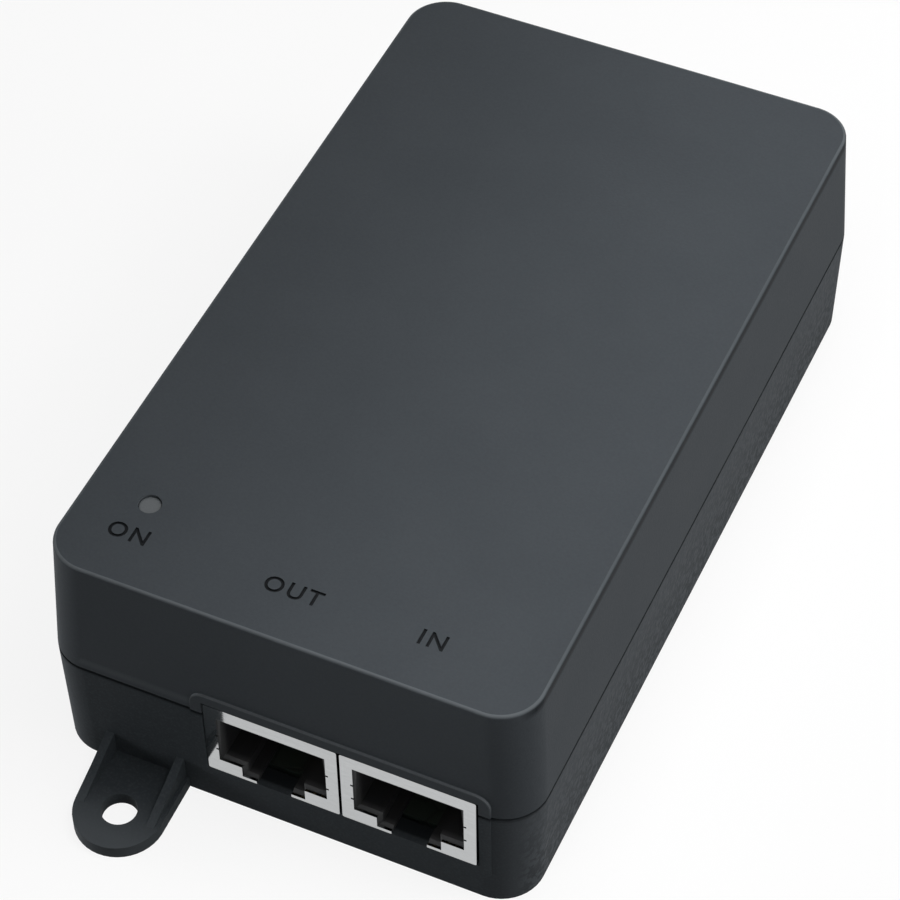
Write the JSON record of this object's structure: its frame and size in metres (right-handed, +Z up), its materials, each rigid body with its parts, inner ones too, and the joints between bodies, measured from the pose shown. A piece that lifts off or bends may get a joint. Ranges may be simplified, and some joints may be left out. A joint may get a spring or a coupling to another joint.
{
  "type": "power over ethernet injector",
  "caption": "Mains-fed power injector for a network cable: closed plastic case with shielded network sockets, a mains inlet, an indicator lens and screw ears.",
  "frame": {"origin": "middle of the underside", "axes": "+Z up, +Y along the case away from the network sockets, +X to the right as seen from the sockets' end"},
  "size_m": [0.0582, 0.1244, 0.0315],
  "materials": {
    "case_plastic": "fine moulded grain, matt",
    "screw_steel": "zinc plated, satin",
    "lens": "milky, satin",
    "led_body": "pale, glossy dome",
    "circuit_board": "green solder mask",
    "insulation": "thin pale sheet",
    "label": "blank, satin film",
    "shield_metal": "bright tin plate, satin",
    "socket_plastic": "black moulded, satin",
    "contact_metal": "gold-flashed spring wire",
    "blade_metal": "nickel-plated brass",
    "capacitor_box": "yellow box, satin",
    "ferrite": "sintered, dull",
    "copper_wire": "enamelled wire",
    "disc_coating": "dipped resin coat",
    "fuse_body": "pale ceramic with plated caps",
    "chip_resin": "moulded resin",
    "can_metal": "drawn can",
    "capacitor_sleeve": "shrunk sleeve",
    "bobbin_plastic": "moulded",
    "tape": "yellow polyester tape",
    "heatsink_metal": "sheet, satin",
    "pad_rubber": "soft grey pad",
    "chip_ceramic": "fired ceramic"
  },
  "bodies": {
    "case": {"top_cover": "case_plastic", "bottom_case": "case_plastic", "case_screws": "screw_steel", "board_screws": "screw_steel", "heatsink_screws": "screw_steel", "led_light_pipe": "lens", "power_led": "led_body", "main_board": "circuit_board", "insulation_sheet": "insulation", "rating_label": "label", "out_socket_shield": "shield_metal", "in_socket_shield": "shield_metal", "out_socket_housing": "socket_plastic", "in_socket_housing": "socket_plastic", "out_socket_leads": "contact_metal", "in_socket_leads": "contact_metal", "inlet_housing": "socket_plastic", "inlet_power_blades": "blade_metal", "inlet_earth_blade": "blade_metal", "x_capacitor": "capacitor_box", "line_choke_core": "ferrite", "line_choke_windings": "copper_wire", "thermistor": "disc_coating", "y_capacitor": "disc_coating", "fuse": "fuse_body", "bridge_rectifier": "chip_resin", "bulk_capacitor_can": "can_metal", "bulk_capacitor_sleeve": "capacitor_sleeve", "output_capacitor_cans": "can_metal", "output_capacitor_sleeves": "capacitor_sleeve", "transformer_core": "ferrite", "transformer_bobbin": "bobbin_plastic", "transformer_windings": "copper_wire", "transformer_tape": "tape", "switch_transistor": "chip_resin", "output_diode": "chip_resin", "primary_heatsink": "heatsink_metal", "secondary_heatsink": "heatsink_metal", "heatsink_pads": "pad_rubber", "output_inductor_core": "ferrite", "output_inductor_winding": "copper_wire", "optocoupler": "chip_resin", "supply_controller": "chip_resin", "port_controller": "chip_resin", "network_transformer": "chip_resin", "chip_parts": "chip_ceramic"},
    "out_springs": {"out_socket_springs": "contact_metal"},
    "in_springs": {"in_socket_springs": "contact_metal"}
  },
  "joints": [
    {"name": "out_contacts_lift", "type": "hinge", "parent": "case", "child": "out_springs", "pos_m": [-0.0011, -0.04803, 0.0152], "axis": [1, 0, 0], "range_deg": [0, 9], "stiffness_Nm_per_rad": 0.05},
    {"name": "in_contacts_lift", "type": "hinge", "parent": "case", "child": "in_springs", "pos_m": [0.01514, -0.04803, 0.0152], "axis": [1, 0, 0], "range_deg": [0, 9], "stiffness_Nm_per_rad": 0.05}
  ]
}
